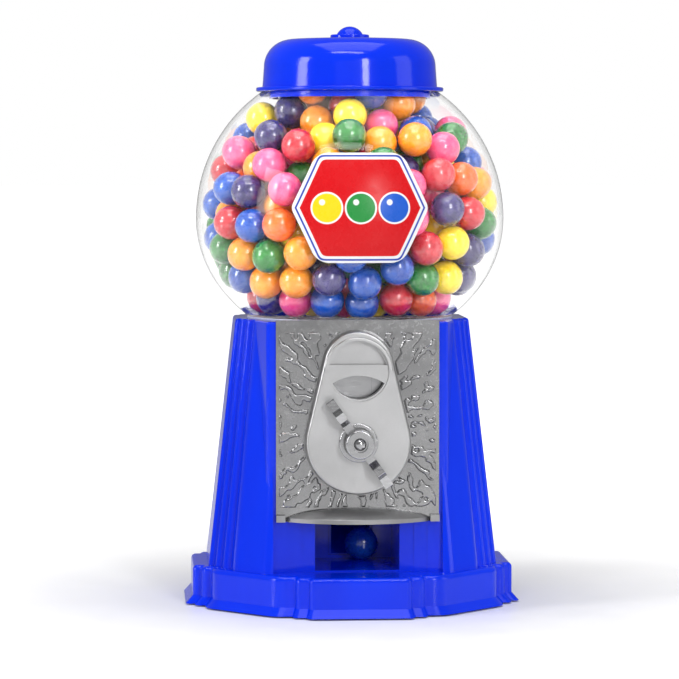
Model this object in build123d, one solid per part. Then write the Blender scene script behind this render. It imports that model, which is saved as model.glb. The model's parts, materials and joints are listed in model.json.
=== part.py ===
from build123d import *
import os
from math import atan2, cos, pi, radians, sin, sqrt

import numpy as np

# Gumball machine, in millimetres. +Z is up, the front with the coin mechanism faces -Y, and the
# origin lies on the surface under the middle of the foot. Each function makes one group of
# sub-parts, and main() writes them all.

# Overall
WALL = 2.4
FIT = 0.05

# Body: a foot with a lip, and a tapered tower with stepped corners
LIP_REACH = 79.7
FOOT_REACH = 76.3
TOWER_REACH_LOW = 68.8
TOWER_REACH_TOP = 55.6
STAND_OFF = 0.8
LIP_HEIGHT = 4.6
FOOT_TOP = 18.9
TOWER_TOP = 136.0
FOOT_EDGE_ROUND = 2.2
TOWER_EDGE_ROUND = 1.6

# Each outline repeats every quarter turn: an arm, the steps beside it, and a corner pillar.
# All numbers are shares of the arm's reach: (how far out, how far sideways).
TOWER_STEPS = ((1.0, 0.34), (0.955, 0.43), (0.907, 0.52))
TOWER_PILLAR = (0.845, 0.62)
TOWER_PILLAR_ROUND = 0.12
FOOT_STEPS = ((1.0, 0.31), (0.945, 0.39))
FOOT_PILLAR = (0.885, 0.50)
FOOT_PILLAR_ROUND = 0.13
TOWER_INNER = ((1.0, 0.30), (0.84, 0.46), (0.84, 0.58))
FOOT_INNER = ((1.0, 0.26), (0.885, 0.375), (0.885, 0.46))

# Under the body: the cover, the bank door and the rubber pads
COVER_SCREW = 45.5
COVER_THREAD = 1.35
COVER_LOW = 1.2
COVER_TOP = 3.6
BOSS_R = 3.6
DOOR_R = 16.0
DOOR_RIM = 3.0
DOOR_TURN = 75.0
FOOT_PAD_R = 6.0
FOOT_PAD = (31.0, 50.0)

# Front panel and its plate
PANEL_Y = -52.5
PANEL_HALF = 39.6
PANEL_STEPS = ((32.7, 0.7), (26.5, 1.4))
PAD_HALF = 42.2
PAD_BACK = ((46.4, -36.0), (46.4, -20.0))
PLATE_HALF = 38.1
PLATE_THICK = 1.3
PLATE_LOW = 42.9
PLATE_TOP = 136.9
LEDGE_DROP = 2.2
LEDGE_RISE = 4.2
LEDGE_BULGE = 14.0
LEDGE_HALF = 33.9
LEDGE_END_DEPTH = 2.9
MECH_WINDOW_HALF = 32.5
MECH_WINDOW_LOW = 49.0
MECH_WINDOW_TOP = 128.5

# Alcove where the gumball comes out
ALCOVE_HALF = 19.8
ALCOVE_FLOOR = 19.5
ALCOVE_ROOF = 42.0
ALCOVE_BACK = -4.0
ALCOVE_WALL = 2.0
ALCOVE_FRONT = PANEL_Y + PANEL_STEPS[-1][1] + WALL
DEFLECTOR_TOP = 49.6
DEFLECTOR_FRONT = -48.4

# Screws and bushings of the coin mechanism
SCREW_R = 1.25
FLAT_HEAD_R = 2.0
FLAT_HEAD = 0.9
PANEL_SCREWS = [(x, z) for x in (-35.4, 35.4) for z in (54.0, 104.0)]
FACE_SCREWS = [(x, z) for x in (-17.0, 17.0) for z in (68.0, 93.0)]
FRONT_BUSH_R = 4.2
MIDDLE_BUSH_R = 4.0
REAR_BUSH_R = 3.4

# Handle axis and coin window
AXIS_Z = 80.2
FACE_LOW_R = 24.9
FACE_TOP_R = 16.6
FACE_TOP_Z = 115.9
FACE_DEPTH = 6.0
FACE_DRAFT = 8.0
FACE_WALL = 1.6
WINDOW_R = 14.2
WINDOW_Z = 113.4
SLOT_Z = 116.3
CRESCENT_TOP_Z = 111.3
CRESCENT_TIP_Z = 107.8
COIN_GAP = 2.0
LIP_THICK = 1.2
SHAFT_R = 2.5
SHAFT_BACK = -9.6
HUB_R = 6.7
HUB_FRONT = -71.8
HUB_RECESS = 2.2
HUB_RECESS_R = 3.7
BEZEL_R = 9.1
LEVER_ANGLE = 125.0
LEVER_REACH = 24.3
LEVER_HALF = 2.1
CARRIER_R = 29.4
COIN_R = 12.6
COIN_ORBIT = 17.6

# Layers of the mechanism behind the panel, front to back
CARRIER_Y = (-51.9, -49.5)
FRAME_Y = (-48.7, -46.7)
WHEEL_Y = (-46.3, -44.3)
REAR_LEG_Y = (-14.2, -11.6)
FRAME_HALF = 38.4
FRAME_LOW = 47.0
FRAME_TOP = 110.5
WINDOW_PADS = ((-13.0, -6.2), (6.8, 13.0))
WINDOW_PAD_RISE = 0.5
LEG_X = (27.0, 29.0)
PAWL_PIVOT = (19.5, AXIS_Z + 8.0)
PAWL_PIN_R = 1.6
PAWL_ARM = ((16.9, 7.2), (12.5, -2.4), (13.2, -4.2), (16.4, -1.0), (22.2, 6.8))

# Crown drive: one turn of the handle moves the wheel by one of its four pockets
MODULE = 0.75
PINION_TEETH = 12
CROWN_TEETH = 48
PINION_HUB_R = 3.6
PINION_PITCH_R = MODULE * PINION_TEETH / 2
CROWN_PITCH_R = MODULE * CROWN_TEETH / 2
GEAR_FACE = 3.0
TOOTH_TIP = 0.55
TOOTH_ROOT = 0.85
TOOTH_WIDE = 0.92
TOOTH_NARROW = 0.5
CROWN_PLANE = AXIS_Z + PINION_PITCH_R
RATCHET_TEETH = 12
RATCHET_R = 12.0
CROWN_TOP = 88.6
CROWN_WEB = 87.0
CROWN_R = 19.6

# Deck, dispensing wheel and chute
DECK_LOW = 113.0
DECK_TOP = 116.0
DECK_R = 47.0
DECK_BORE = 6.2
COLLAR_IN = 41.2
COLLAR_OUT = 43.4
COLLAR_TOP = 134.0
SHELF_TOP = 128.6
WHEEL_TOP = 133.0
WHEEL_R = 40.5
POCKETS = 4
POCKET_R = 8.9
POCKET_ORBIT = 30.5
SPINDLE_R = 3.0
OUTLET_R = 9.6
CHUTE_HALF = 9.2
CHUTE_WALL = 1.2
CHUTE_MOUTH = (21.0, 41.0)
CHUTE_BEND = 53.4
CHUTE_REAR_LOW = 43.1
CHUTE_SCREWS = (-12.6, 12.6)
EAR_ORBIT = 51.2
EAR_R = 4.0
GUARD_HOLE_R = 17.0

# Globe and lid
GLOBE_R = 73.9
GLOBE_Z = 183.2
GLOBE_LOW_B = 62.5
GLOBE_WALL = 1.8
GLOBE_SHOULDER_Z = 137.4
GLOBE_MOUTH_Z = 243.6
NECK_R = 46.0
NECK_LOW = 129.6
LID_FLANGE_R = 44.9
LID_FLANGE_LOW = 243.9
LID_FLANGE_TOP = 245.8
LID_R = 42.0
LID_SHOULDER_Z = 255.6
LID_CORNER = 13.2
LID_CROWN_Z = 269.4
LID_WALL = 2.0
KNOB_R = 9.3
SKIRT_OUT = 38.7
SKIRT_IN = 37.2
SKIRT_LOW = 240.6
KNOB_DOME_R = 6.3
TOTAL_HEIGHT = 275.0

# Label on the globe
LABEL_HALF = 31.8
LABEL_HALF_HEIGHT = 25.3
LABEL_Z = 189.3
LABEL_THICK = 0.3

# Gumballs
BALL_R = 8.0
BALL_SPACE = 8.24
BALL_COUNT = 322
BALL_FLOOR = 135.5
SETTLE_STEPS = 1100
SEED = 7
COLOURS = ("red", "orange", "amber", "yellow", "green", "blue", "purple", "pink")
COLOUR_SHARE = (5, 2, 6, 3, 4, 6, 5, 5)


def save(name, shape):
    """Writes one sub-part to parts/NAME.step."""
    shape.label = name
    export_step(shape, os.path.join("parts", name + ".step"))


def cylinder_y(radius, y_front, y_back, x=0.0, z=AXIS_Z):
    """A cylinder along Y between two planes."""
    turned = Rot(90, 0, 0) * Cylinder(radius, y_back - y_front)
    return Pos(x, (y_front + y_back) / 2, z) * turned


def cylinder_z(radius, z_low, z_high, x=0.0, y=0.0):
    """An upright cylinder between two heights."""
    return Pos(x, y, (z_low + z_high) / 2) * Cylinder(radius, z_high - z_low)


def block(x, y, z):
    """A box given as three (low, high) pairs."""
    size = (x[1] - x[0], y[1] - y[0], z[1] - z[0])
    return Pos((x[0] + x[1]) / 2, (y[0] + y[1]) / 2, (z[0] + z[1]) / 2) * Box(*size)


def polygon(points):
    """A flat face from a list of points in the plane's own x and y."""
    return make_face(Polyline(*points, close=True))


def along_y(face, y_front, y_back):
    """Extrudes a face drawn in x and z so that it fills y_front to y_back."""
    return extrude(Pos(0, y_back, 0) * (Plane.XZ * face), amount=y_back - y_front)


def turned_solid(points):
    """A solid of revolution about the Z axis from (radius, z) points."""
    return revolve(Plane.XZ * polygon(points), axis=Axis.Z)


def four(shape, x, y):
    """Four copies of a shape, mirrored to (+-x, +-y)."""
    return [Pos(sx * x, sy * y, 0) * shape for sx in (-1, 1) for sy in (-1, 1)]


# ---------------------------------------------------------------- body

def quarter_points(steps, pillar, pillar_round, reach):
    """Corner points and radii of one quarter, from the arm to the middle of the pillar."""
    convex, concave = 0.032 * reach, 0.011 * reach
    row = [(steps[0][0] * reach, steps[0][1] * reach, convex)]
    for (_, side), (out, next_side) in zip(steps, steps[1:]):
        row.append((out * reach, side * reach, concave))
        row.append((out * reach, next_side * reach, convex))
    row.append((pillar[0] * reach, steps[-1][1] * reach, concave))
    row.append((pillar[0] * reach, pillar[1] * reach, pillar_round * reach))
    return row


def ring_face(row, z):
    """A closed face from one quarter's points, mirrored about the diagonal and turned."""
    whole = row + [(y, x, r) for x, y, r in reversed(row)]
    points, radii = [], []
    for turn in range(4):
        c, s = round(cos(turn * pi / 2)), round(sin(turn * pi / 2))
        for x, y, r in whole:
            points.append((c * x - s * y, s * x + c * y))
            radii.append(r)
    return Pos(0, 0, z) * make_face(FilletPolyline(*points, radius=radii, close=True))


def tower_face(z):
    """The tower's outline at height z."""
    row = quarter_points(TOWER_STEPS, TOWER_PILLAR, TOWER_PILLAR_ROUND, tower_reach(z))
    return ring_face(row, z)


def foot_face(reach, z):
    """The foot's outline at height z."""
    row = quarter_points(FOOT_STEPS, FOOT_PILLAR, FOOT_PILLAR_ROUND, reach)
    return ring_face(row, z)


def inner_face(shares, reach, z, inset=WALL):
    """A simpler outline that follows an outer one, one wall inside it."""
    row = [(out * reach - inset, side * reach, 3.0) for out, side in shares]
    return ring_face(row, z)


def tower_reach(z):
    """The tower's half width at height z."""
    share = (z - FOOT_TOP) / (TOWER_TOP - FOOT_TOP)
    return TOWER_REACH_LOW + share * (TOWER_REACH_TOP - TOWER_REACH_LOW)


def panel_pad():
    """The thick front that carries the plate, with eased top and side edges."""
    left = [(-x, y) for x, y in reversed(PAD_BACK)]
    points = left + [(-PAD_HALF, PANEL_Y), (PAD_HALF, PANEL_Y)] + list(PAD_BACK)
    pad = extrude(Pos(0, 0, FOOT_TOP - 1) * polygon(points), amount=TOWER_TOP - FOOT_TOP + 1)
    upright = [e for e in pad.edges().filter_by(Axis.Z) if e.center().Y < PAD_BACK[0][1] + 1]
    pad = fillet(upright, 2.0)
    return fillet(pad.edges().group_by(Axis.Z)[-1].filter_by(lambda e: e.center().Y < -21), 1.2)


def outer_body():
    """Foot, lip, tower and front pad as one solid block."""
    tower = loft([tower_face(FOOT_TOP - 0.6), tower_face(TOWER_TOP)], ruled=True)
    tower = fillet(tower.edges().group_by(Axis.Z)[-1], TOWER_EDGE_ROUND)
    foot = extrude(foot_face(FOOT_REACH, LIP_HEIGHT), amount=FOOT_TOP - LIP_HEIGHT)
    foot = fillet(foot.edges().group_by(Axis.Z)[-1], FOOT_EDGE_ROUND)
    lip = loft([foot_face(LIP_REACH, STAND_OFF), foot_face(FOOT_REACH, LIP_HEIGHT)], ruled=True)
    body = foot + lip + tower + panel_pad()
    front = block((-PANEL_HALF, PANEL_HALF), (-90, PANEL_Y), (FOOT_TOP, TOWER_TOP + 1))
    body -= front
    for half, deep in PANEL_STEPS:
        body -= block((-half, half), (PANEL_Y - 1, PANEL_Y + deep), (FOOT_TOP, MECH_WINDOW_LOW))
    return body


def cavity():
    """The hollow inside the body: the bank in the foot and the mechanism space above."""
    low = extrude(inner_face(FOOT_INNER, FOOT_REACH, 0), amount=FOOT_TOP - WALL)
    ends = [inner_face(TOWER_INNER, tower_reach(z), z) for z in (FOOT_TOP - 3, TOWER_TOP - WALL)]
    high = loft(ends, ruled=True)
    behind_panel = PANEL_Y + PANEL_STEPS[-1][1] + WALL
    inside = PANEL_HALF - 0.8
    front = (-PANEL_HALF - WALL, PANEL_HALF + WALL)
    high -= block(front, (-90, behind_panel), (FOOT_TOP - WALL, TOWER_TOP))
    high += block((-inside, inside), (behind_panel, -30), (FOOT_TOP - 3, TOWER_TOP - WALL))
    return low + high


def base_parts():
    """The foot and the tower, with screw bosses, alcove opening, coin window and neck opening."""
    body = outer_body() - cavity()
    low_screws = four(cylinder_z(BOSS_R, COVER_TOP + 0.2, FOOT_TOP - 1), COVER_SCREW, COVER_SCREW)
    ear = EAR_ORBIT / sqrt(2)
    high_screws = four(cylinder_z(BOSS_R + 0.2, DECK_TOP, TOWER_TOP - 1), ear, ear)
    body += low_screws + high_screws
    body -= block((-ALCOVE_HALF, ALCOVE_HALF), (-90, ALCOVE_FRONT), (ALCOVE_FLOOR, ALCOVE_ROOF))
    body -= block((-MECH_WINDOW_HALF, MECH_WINDOW_HALF), (PANEL_Y - 1, PANEL_Y + 5),
                  (MECH_WINDOW_LOW, MECH_WINDOW_TOP))
    body -= cylinder_z(NECK_R + 0.3, TOWER_TOP - 5, TOWER_TOP + 1)
    body -= four(cylinder_z(COVER_THREAD, 0, 13), COVER_SCREW, COVER_SCREW)
    body -= four(cylinder_z(1.35, DECK_TOP - 1, 126), ear, ear)
    for x, z in PANEL_SCREWS:
        body -= cylinder_y(SCREW_R + FIT, PANEL_Y - 1, PANEL_Y + 8, x, z)
    save("base_foot", body & block((-90, 90), (-90, 90), (0, FOOT_TOP)))
    save("base_tower", body & block((-90, 90), (-90, 90), (FOOT_TOP, TOWER_TOP + 5)))


def alcove():
    """The open-fronted box behind the panel that the gumball rolls into, and its coin ridge."""
    wall, back = ALCOVE_WALL, ALCOVE_BACK + ALCOVE_WALL
    tray = block((-ALCOVE_HALF - wall, ALCOVE_HALF + wall), (ALCOVE_FRONT, back),
                 (ALCOVE_FLOOR - wall, ALCOVE_ROOF + wall))
    tray -= block((-ALCOVE_HALF, ALCOVE_HALF), (-90, ALCOVE_BACK), (ALCOVE_FLOOR, ALCOVE_ROOF))
    mouth = CHUTE_HALF + CHUTE_WALL + 0.3
    tray -= block((-mouth, mouth), (ALCOVE_BACK - 1, back + 1), CHUTE_MOUTH)
    save("alcove_tray", tray)
    half = ALCOVE_HALF + 1.8
    ridge = [(-half, ALCOVE_ROOF + wall), (half, ALCOVE_ROOF + wall), (0, DEFLECTOR_TOP)]
    save("coin_deflector", along_y(polygon(ridge), DEFLECTOR_FRONT, ALCOVE_BACK))


# ---------------------------------------------------------------- under the body

def screw(head_r, head_h, shank_r, length):
    """A pan-head screw along +Z, its head below z = 0, with a cross recess."""
    head = Pos(0, 0, -head_h / 2) * Cylinder(head_r, head_h)
    head = fillet(head.edges().group_by(Axis.Z)[0], head_h * 0.45)
    shank = Pos(0, 0, length / 2) * Cylinder(shank_r, length)
    recess = Box(head_r * 1.15, 0.6, 1.4) + Box(0.6, head_r * 1.15, 1.4)
    return head + shank - Pos(0, 0, -head_h) * recess


def underside():
    """The cover that closes the foot, its screws, the rubber pads and the bank door."""
    cover = Pos(0, 0, COVER_LOW) * extrude(inner_face(FOOT_INNER, FOOT_REACH, 0, WALL + 0.3),
                                            amount=COVER_TOP - COVER_LOW)
    cover -= cylinder_z(DOOR_R, 0, 10)
    slots = block((-4.2, 4.2), (-DOOR_R - 3.2, DOOR_R + 3.2), (0, 10))
    cover -= Rot(0, 0, DOOR_TURN) * slots
    cover -= four(cylinder_z(1.55, 0, 10), COVER_SCREW, COVER_SCREW)
    save("base_cover", cover)
    one = Pos(0, 0, COVER_LOW) * screw(2.6, 0.9, 1.3, 10.5)
    save("base_cover_screws", Compound(children=four(one, COVER_SCREW, COVER_SCREW)))
    pad = fillet(cylinder_z(FOOT_PAD_R, 0, COVER_LOW).edges().group_by(Axis.Z)[0], 0.4)
    save("rubber_feet", Compound(children=four(pad, *FOOT_PAD)))
    door = cylinder_z(DOOR_R - 0.3, COVER_LOW, COVER_TOP + 0.4)
    latch = (COVER_TOP + 0.3, COVER_TOP + 2.2)
    door += cylinder_z(DOOR_R - DOOR_RIM, *latch)
    door += block((-3.9, 3.9), (-DOOR_R - 2.6, DOOR_R + 2.6), latch)
    door -= block((-9, 9), (-1.6, 1.6), (COVER_LOW - 1, COVER_LOW + 1.6))
    save("bank_door", door)


# ---------------------------------------------------------------- front plate and coin parts

def teardrop(shrink=0.0):
    """The rounded outline of the coin mechanism's face, in x and z."""
    low, top = FACE_LOW_R - shrink, FACE_TOP_R - shrink
    rise = FACE_TOP_Z - AXIS_Z
    lean = (low - top) / rise
    flat = sqrt(1 - lean * lean)
    left_low = (-low * flat, AXIS_Z + low * lean)
    left_top = (-top * flat, FACE_TOP_Z + top * lean)
    right_low, right_top = (-left_low[0], left_low[1]), (-left_top[0], left_top[1])
    over = ThreePointArc(left_top, (0, FACE_TOP_Z + top), right_top)
    under = ThreePointArc(right_low, (0, AXIS_Z - low), left_low)
    sides = Line(left_low, left_top) + Line(right_top, right_low)
    return make_face([over, under] + list(sides.edges()))


def plate_ledge():
    """The curved hood along the bottom edge of the plate."""
    face_y = PANEL_Y - PLATE_THICK
    radius = (LEDGE_HALF ** 2 + LEDGE_BULGE ** 2) / (2 * LEDGE_BULGE)
    axis_y = face_y - LEDGE_BULGE + radius
    low, lip = PLATE_LOW, PLATE_LOW + LEDGE_DROP
    inner = radius - LEDGE_BULGE - 1.5
    sweep = ThreePointArc((radius - 0.4, lip), (radius - LEDGE_BULGE * 0.45, lip + LEDGE_RISE * 0.66),
                          (inner, lip + LEDGE_RISE))
    rest = Polyline((inner, lip + LEDGE_RISE), (inner, low), (radius, low), (radius, lip - 0.4),
                    (radius - 0.4, lip))
    hood = revolve(Plane.XZ * make_face([sweep] + list(rest.edges())), axis=Axis.Z)
    hood = Pos(0, axis_y, 0) * hood
    hood &= block((-LEDGE_HALF, LEDGE_HALF), (face_y - LEDGE_BULGE - 1, face_y + 0.5), (0, 90))
    ends = [block(sorted((s * LEDGE_HALF, s * PLATE_HALF)), (face_y - LEDGE_END_DEPTH, face_y + 0.5),
                  (low, lip + 0.9)) for s in (-1, 1)]
    return hood + ends


def front_plate():
    """The cast plate on the front panel, with its ledge and the openings behind the face."""
    plate = block((-PLATE_HALF, PLATE_HALF), (PANEL_Y - PLATE_THICK, PANEL_Y), (PLATE_LOW, PLATE_TOP))
    plate = fillet(plate.edges().filter_by(Axis.Y), 0.5) + plate_ledge()
    plate -= cylinder_y(WINDOW_R + 0.2, -60, -50, 0, WINDOW_Z)
    plate -= cylinder_y(HUB_R, -60, -50)
    for x, z in PANEL_SCREWS:
        plate -= cylinder_y(SCREW_R + FIT, PANEL_Y - 1.0, -50, x, z)
    for x, z in FACE_SCREWS:
        plate -= cylinder_y(SCREW_R + FIT, -60, -50, x, z)
        plate -= cylinder_y(FLAT_HEAD_R + FIT, PANEL_Y - FLAT_HEAD, -50, x, z)
    save("front_plate", plate)


def crescent():
    """The lens-shaped opening in the lower part of the window, in x and z."""
    drop = WINDOW_Z - CRESCENT_TIP_Z
    radius = WINDOW_R - 0.9
    half = sqrt(radius ** 2 - drop ** 2)
    tips = ((-half, CRESCENT_TIP_Z), (half, CRESCENT_TIP_Z))
    top = ThreePointArc(tips[0], (0, CRESCENT_TOP_Z), tips[1])
    low = ThreePointArc(tips[1], (0, WINDOW_Z - radius), tips[0])
    return make_face([top, low])


def face_and_guide():
    """The raised teardrop face, and the round coin guide seen in its window."""
    back = PANEL_Y - PLATE_THICK
    front = back - FACE_DEPTH
    outer = extrude(Pos(0, back, 0) * (Plane.XZ * teardrop()), amount=FACE_DEPTH, taper=FACE_DRAFT)
    outer = fillet(outer.edges().group_by(Axis.Y)[0], 1.1)
    inner = extrude(Pos(0, back, 0) * (Plane.XZ * teardrop(FACE_WALL)), amount=FACE_DEPTH - FACE_WALL,
                    taper=FACE_DRAFT)
    face = outer - inner
    rim = cylinder_y(WINDOW_R + 1.7, front - 0.9, front + 0.4, 0, WINDOW_Z)
    rim = fillet(rim.edges().group_by(Axis.Y)[0], 0.7)
    rim -= block((-30, 30), (front - 2, front + 1), (AXIS_Z, WINDOW_Z))
    sleeve = cylinder_y(WINDOW_R + 1.3, front + 0.3, back, 0, WINDOW_Z)
    boss = cylinder_y(HUB_R + 2.2, front + 0.3, back, 0, AXIS_Z)
    face = face + rim + sleeve + boss
    face -= cylinder_y(WINDOW_R, front - 3, back + 1, 0, WINDOW_Z)
    face -= cylinder_y(FRONT_BUSH_R + FIT, front - 3, back + 1)
    for x, z in FACE_SCREWS:
        face += cylinder_y(3.0, front + 0.5, back, x, z)
        face -= cylinder_y(SCREW_R + FIT, front + 2.0, back + 1, x, z)
    save("coin_faceplate", face)

    lip_back = front + 1.0 + LIP_THICK
    disc_r = WINDOW_R - FIT
    half_moon = cylinder_y(disc_r, lip_back + COIN_GAP, back + 1.2, 0, WINDOW_Z)
    half_moon -= block((-20, 20), (-70, -40), (60, SLOT_Z - 1.5))
    lip = cylinder_y(disc_r, front + 1.0, lip_back, 0, WINDOW_Z)
    lip -= block((-20, 20), (-70, -40), (SLOT_Z, 140))
    ring = cylinder_y(disc_r, lip_back - 0.1, back + 1.2, 0, WINDOW_Z)
    ring -= cylinder_y(disc_r - 0.9, -70, -40, 0, WINDOW_Z)
    guide = half_moon + lip + ring - along_y(crescent(), -70, -40)
    save("coin_guide", guide)


def front_fixings():
    """Bezel, shaft bushings and the screws of plate, face and frame."""
    front = PANEL_Y - PLATE_THICK - FACE_DEPTH
    bezel = cylinder_y(BEZEL_R, front - 1.5, front)
    bezel = fillet(bezel.edges().group_by(Axis.Y)[0], 0.7) - cylinder_y(HUB_R + 0.5, front - 5, front + 1)
    save("hub_bezel", bezel)
    bush = cylinder_y(FRONT_BUSH_R, front - 0.4, PANEL_Y - PLATE_THICK)
    save("front_bushing", bush - cylinder_y(SHAFT_R + FIT, -80, -40))
    one = Rot(90, 0, 0) * screw(2.4, 1.3, SCREW_R, FRAME_Y[1] - PANEL_Y + 0.9)
    save("frame_screws", Compound(children=[Pos(x, FRAME_Y[1] + 0.02, z) * one for x, z in PANEL_SCREWS]))
    flat = []
    for x, z in FACE_SCREWS:
        shape = cylinder_y(FLAT_HEAD_R, PANEL_Y - FLAT_HEAD + 0.02, PANEL_Y - 0.02, x, z)
        shape += cylinder_y(SCREW_R, front + 2.4, PANEL_Y - 0.3, x, z)
        flat.append(shape - block((x - 1.4, x + 1.4), (PANEL_Y - 0.4, PANEL_Y), (z - 0.25, z + 0.25)))
    save("face_screws", Compound(children=flat))


def coin_carrier():
    """The disc on the shaft that carries a coin from the window round to the bank."""
    disc = cylinder_y(CARRIER_R, CARRIER_Y[0], CARRIER_Y[1])
    pocket_z = AXIS_Z + COIN_ORBIT
    pocket = cylinder_y(COIN_R, -60, -40, 0, pocket_z)
    pocket += block((-COIN_R, COIN_R), (-60, -40), (pocket_z, AXIS_Z + 40))
    disc -= pocket
    disc += cylinder_y(5.0, CARRIER_Y[0] - 0.8, CARRIER_Y[1] + 0.5)
    for angle in (200, 270, 340):
        x, z = 18.5 * cos(radians(angle)), 18.5 * sin(radians(angle))
        disc -= cylinder_y(6.0, -60, -40, x, AXIS_Z + z)
    return disc - cylinder_y(SHAFT_R + 0.02, -60, -40)


def saw_wheel(radius, depth, teeth, y):
    """A ratchet wheel of saw teeth about the handle axis."""
    points = []
    for i in range(teeth):
        a = 2 * pi * i / teeth
        b = 2 * pi * (i + 0.85) / teeth
        points.append((radius * cos(a), AXIS_Z + radius * sin(a)))
        points.append(((radius - depth) * cos(a + 0.04), AXIS_Z + (radius - depth) * sin(a + 0.04)))
        points.append(((radius - depth * 0.3) * cos(b), AXIS_Z + (radius - depth * 0.3) * sin(b)))
    return along_y(polygon(points), *y)


def pinion():
    """The small gear near the back of the shaft."""
    root, tip = PINION_PITCH_R - TOOTH_ROOT, PINION_PITCH_R + TOOTH_TIP
    flank = ((root, -TOOTH_WIDE), (tip, -TOOTH_NARROW), (tip, TOOTH_NARROW), (root, TOOTH_WIDE))
    outline = []
    for i in range(PINION_TEETH):
        for r, width in flank:
            a = pi / 2 + 2 * pi * i / PINION_TEETH + width / 2 / r
            outline.append((r * cos(a), AXIS_Z + r * sin(a)))
    gear = along_y(polygon(outline), -CROWN_PITCH_R - GEAR_FACE / 2, -CROWN_PITCH_R + GEAR_FACE / 2)
    gear += cylinder_y(PINION_HUB_R, -CROWN_PITCH_R - GEAR_FACE / 2 - 4, -CROWN_PITCH_R)
    return gear - cylinder_y(SHAFT_R + 0.02, -60, 0)


def lever():
    """The two-winged handle: flat strips with raised, bent tips, round a boss."""
    boss = cylinder_y(HUB_R, HUB_FRONT, HUB_FRONT + 9.6)
    boss = fillet(boss.edges().group_by(Axis.Y)[0], 0.8)
    boss -= cylinder_y(HUB_RECESS_R, HUB_FRONT - 1, HUB_FRONT + HUB_RECESS)
    y_strip = HUB_FRONT + 5.6
    profile = [(4.0, y_strip), (10.5, y_strip), (13.0, y_strip - 4.2), (17.0, y_strip - 4.6),
               (19.0, y_strip - 1.6), (LEVER_REACH, y_strip - 1.2)]
    thick = 1.5
    upper = [(r, y + thick) for r, y in reversed(profile)]
    wing = extrude(Plane.XY * polygon(profile + upper), amount=LEVER_HALF, both=True)
    wing = fillet(wing.edges().filter_by(Axis.Z), 0.45)
    shape = boss
    for angle in (LEVER_ANGLE, LEVER_ANGLE + 180):
        shape += Pos(0, 0, AXIS_Z) * (Rot(0, -angle, 0) * wing)
    shape -= cylinder_y(SHAFT_R + 0.02, HUB_FRONT + HUB_RECESS + 1.4, -40)
    return shape - cylinder_y(1.65, HUB_FRONT - 1, -60)


def handle_train():
    """Everything that turns with the handle."""
    save("handle_lever", lever())
    shaft = cylinder_y(SHAFT_R, HUB_FRONT + HUB_RECESS + 1.6, SHAFT_BACK)
    shaft -= cylinder_y(1.35, HUB_FRONT, HUB_FRONT + 12)
    save("drive_shaft", shaft)
    seat = HUB_FRONT + HUB_RECESS - 0.02
    dome = Pos(0, seat + 1.5, AXIS_Z) * Sphere(3.4) & cylinder_y(2.9, seat - 4, seat)
    save("hub_screw", dome + cylinder_y(1.3, seat - 0.5, seat + 9.0))
    save("coin_carrier", coin_carrier())
    ratchet = saw_wheel(RATCHET_R, 1.6, RATCHET_TEETH, WHEEL_Y)
    ratchet += cylinder_y(5.0, WHEEL_Y[0], WHEEL_Y[1] + 3)
    save("ratchet_wheel", ratchet - cylinder_y(SHAFT_R + 0.02, -60, -30))
    save("drive_pinion", pinion())
    clip = cylinder_y(4.4, SHAFT_BACK - 1.4, SHAFT_BACK - 0.6) - cylinder_y(SHAFT_R + 0.01, -20, 0)
    clip -= block((-1.2, 1.2), (-20, 0), (AXIS_Z, AXIS_Z + 10))
    save("shaft_clip", clip)


# ---------------------------------------------------------------- inner frame

def inner_frame():
    """The metal frame behind the panel that carries the shaft, with bushings and pin."""
    frame = block((-FRAME_HALF, FRAME_HALF), FRAME_Y, (FRAME_LOW, FRAME_TOP))
    frame -= block((-15, 15), (-60, -40), (FRAME_LOW - 1, 61))
    for s in (-1, 1):
        leg = sorted((s * LEG_X[0], s * LEG_X[1]))
        frame += block(leg, (FRAME_Y[1] - 0.5, REAR_LEG_Y[1]), (72, 90))
    frame += block((-LEG_X[1], LEG_X[1]), REAR_LEG_Y, (72, 83.0))
    frame += cylinder_y(6.5, FRAME_Y[0], FRAME_Y[1] + 0.2) + block((-7, 7), REAR_LEG_Y, (72, 84.0))
    frame -= cylinder_y(MIDDLE_BUSH_R + FIT, FRAME_Y[0] - 1, FRAME_Y[1] + 1)
    frame -= cylinder_y(REAR_BUSH_R + FIT, REAR_LEG_Y[0] - 1, REAR_LEG_Y[1] + 1)
    for side in WINDOW_PADS:
        frame += block(side, (FRAME_Y[0] - WINDOW_PAD_RISE, FRAME_Y[0] + 0.1), (98, 110))
    for x, z in PANEL_SCREWS:
        frame -= cylinder_y(SCREW_R + FIT, -60, -40, x, z)
    frame -= cylinder_y(PAWL_PIN_R + 0.02, -60, -40, *PAWL_PIVOT)
    save("mech_frame", frame)
    middle = cylinder_y(MIDDLE_BUSH_R, FRAME_Y[0] - 0.2, FRAME_Y[1] + 0.2)
    rear = cylinder_y(REAR_BUSH_R, *REAR_LEG_Y)
    save("middle_bushing", middle - cylinder_y(SHAFT_R + FIT, -60, -40))
    save("rear_bushing", rear - cylinder_y(SHAFT_R + FIT, -30, 0))
    pin = cylinder_y(PAWL_PIN_R, FRAME_Y[0], WHEEL_Y[1] + 1.2, *PAWL_PIVOT)
    pin += cylinder_y(2.6, WHEEL_Y[1] + 0.3, WHEEL_Y[1] + 1.2, *PAWL_PIVOT)
    save("pawl_pin", pin)


def pawl():
    """The pawl that clicks over the ratchet wheel, lying just clear of its teeth."""
    x, z = PAWL_PIVOT
    body = along_y(polygon([(px, AXIS_Z + pz) for px, pz in PAWL_ARM]), *WHEEL_Y)
    body += cylinder_y(3.4, *WHEEL_Y, x, z)
    save("pawl", body - cylinder_y(PAWL_PIN_R + FIT, -60, -40, x, z))


# ---------------------------------------------------------------- deck, wheel and chute

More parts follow.
